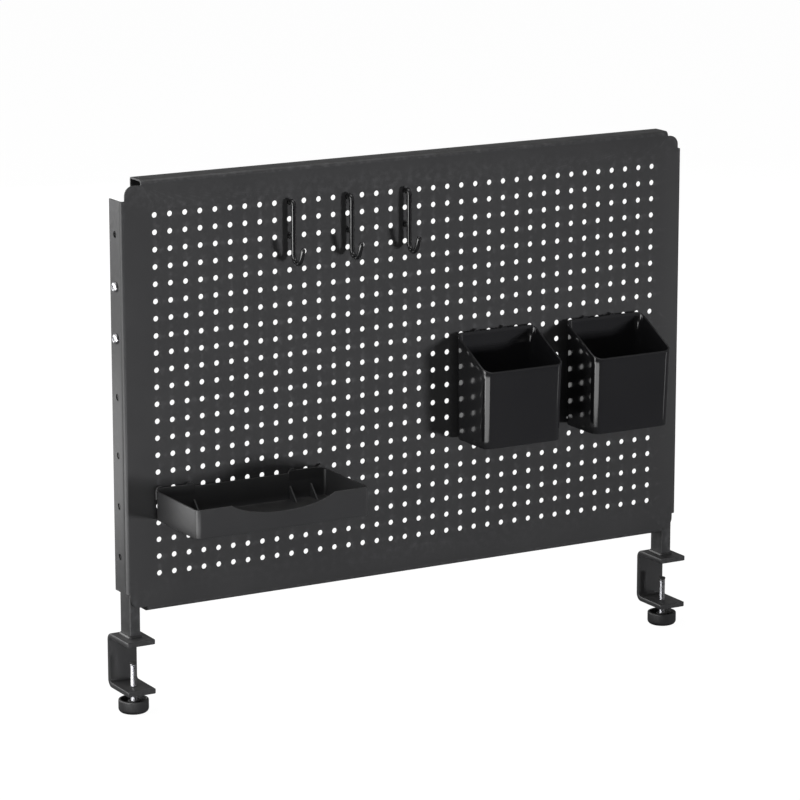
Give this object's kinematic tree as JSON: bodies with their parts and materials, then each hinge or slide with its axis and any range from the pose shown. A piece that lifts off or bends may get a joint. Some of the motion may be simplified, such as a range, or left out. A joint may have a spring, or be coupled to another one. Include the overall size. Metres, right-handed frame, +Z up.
{
  "type": "desk clamp pegboard",
  "caption": "Black folded-steel pegboard on posts with screw clamps for a desk edge, with wire hooks, pen cups and a tray.",
  "frame": {"origin": "on the desk top's plane (the undersides of the two upper jaws), midway between the clamps and in line with the panel's front face", "axes": "+X to the viewer's right along the panel, +Y from the panel's front face towards its back, +Z up"},
  "size_m": [0.6098, 0.1181, 0.4949],
  "materials": {
    "powder_coat": "fine-grained satin black powder coat on folded sheet, tube and bar",
    "wire_coat": "glossy black dip coat on bent wire",
    "cup_gloss": "glossy black moulded plastic",
    "tray_satin": "satin black moulded plastic",
    "knob_plastic": "matte black moulded plastic",
    "cap_plastic": "matte black moulded plastic",
    "zinc_steel": "bright zinc-plated steel",
    "tip_rubber": "black hard rubber"
  },
  "bodies": {
    "stand": {"pegboard_panel": "powder_coat", "left_post": "powder_coat", "left_post_cap": "cap_plastic", "left_clamp_frame": "powder_coat", "left_upper_panel_screw": "zinc_steel", "left_upper_rivet_nut": "zinc_steel", "left_lower_panel_screw": "zinc_steel", "left_lower_rivet_nut": "zinc_steel", "right_post": "powder_coat", "right_post_cap": "cap_plastic", "right_clamp_frame": "powder_coat", "right_upper_panel_screw": "zinc_steel", "right_upper_rivet_nut": "zinc_steel", "right_lower_panel_screw": "zinc_steel", "right_lower_rivet_nut": "zinc_steel"},
    "left_tip": {"left_screw_tip": "tip_rubber"},
    "left_spindle": {"left_clamp_screw": "zinc_steel", "left_clamp_knob": "knob_plastic"},
    "right_tip": {"right_screw_tip": "tip_rubber"},
    "right_spindle": {"right_clamp_screw": "zinc_steel", "right_clamp_knob": "knob_plastic"},
    "hook_1": {"hook_1": "wire_coat"},
    "hook_2": {"hook_2": "wire_coat"},
    "hook_3": {"hook_3": "wire_coat"},
    "pen_cup_left": {"pen_cup_left": "cup_gloss"},
    "pen_cup_right": {"pen_cup_right": "cup_gloss"},
    "tray": {"tray": "tray_satin"}
  },
  "joints": [
    {"name": "left_tip_rise", "type": "slide", "parent": "stand", "child": "left_tip", "axis": [0, 0, 1], "range_m": [-0.01701, 0.00701]},
    {"name": "left_screw_turn", "type": "hinge", "parent": "left_tip", "child": "left_spindle", "pos_m": [-0.2908, 0.008, -0.0445], "axis": [0, 0, 1], "range_deg": [-6120, 2520]},
    {"name": "right_tip_rise", "type": "slide", "parent": "stand", "child": "right_tip", "axis": [0, 0, 1], "range_m": [-0.01701, 0.00701]},
    {"name": "right_screw_turn", "type": "hinge", "parent": "right_tip", "child": "right_spindle", "pos_m": [0.2908, 0.008, -0.0445], "axis": [0, 0, 1], "range_deg": [-6120, 2520]},
    {"name": "hook_1_lift_off", "type": "slide", "parent": "stand", "child": "hook_1", "axis": [0, -0.9659, 0.2588], "range_m": [0, 0.012]},
    {"name": "hook_2_lift_off", "type": "slide", "parent": "stand", "child": "hook_2", "axis": [0, -0.9659, 0.2588], "range_m": [0, 0.012]},
    {"name": "hook_3_lift_off", "type": "slide", "parent": "stand", "child": "hook_3", "axis": [0, -0.9659, 0.2588], "range_m": [0, 0.012]},
    {"name": "pen_cup_left_lift_off", "type": "slide", "parent": "stand", "child": "pen_cup_left", "axis": [0, -0.9659, 0.2588], "range_m": [0, 0.012]},
    {"name": "pen_cup_right_lift_off", "type": "slide", "parent": "stand", "child": "pen_cup_right", "axis": [0, -0.9659, 0.2588], "range_m": [0, 0.012]},
    {"name": "tray_lift_off", "type": "slide", "parent": "stand", "child": "tray", "axis": [0, -0.9659, 0.2588], "range_m": [0, 0.012]}
  ],
  "couplings": [
    {"joint": "left_tip_rise", "follows": "left_screw_turn", "m_per_rad": 0.00015915},
    {"joint": "right_tip_rise", "follows": "right_screw_turn", "m_per_rad": 0.00015915}
  ]
}
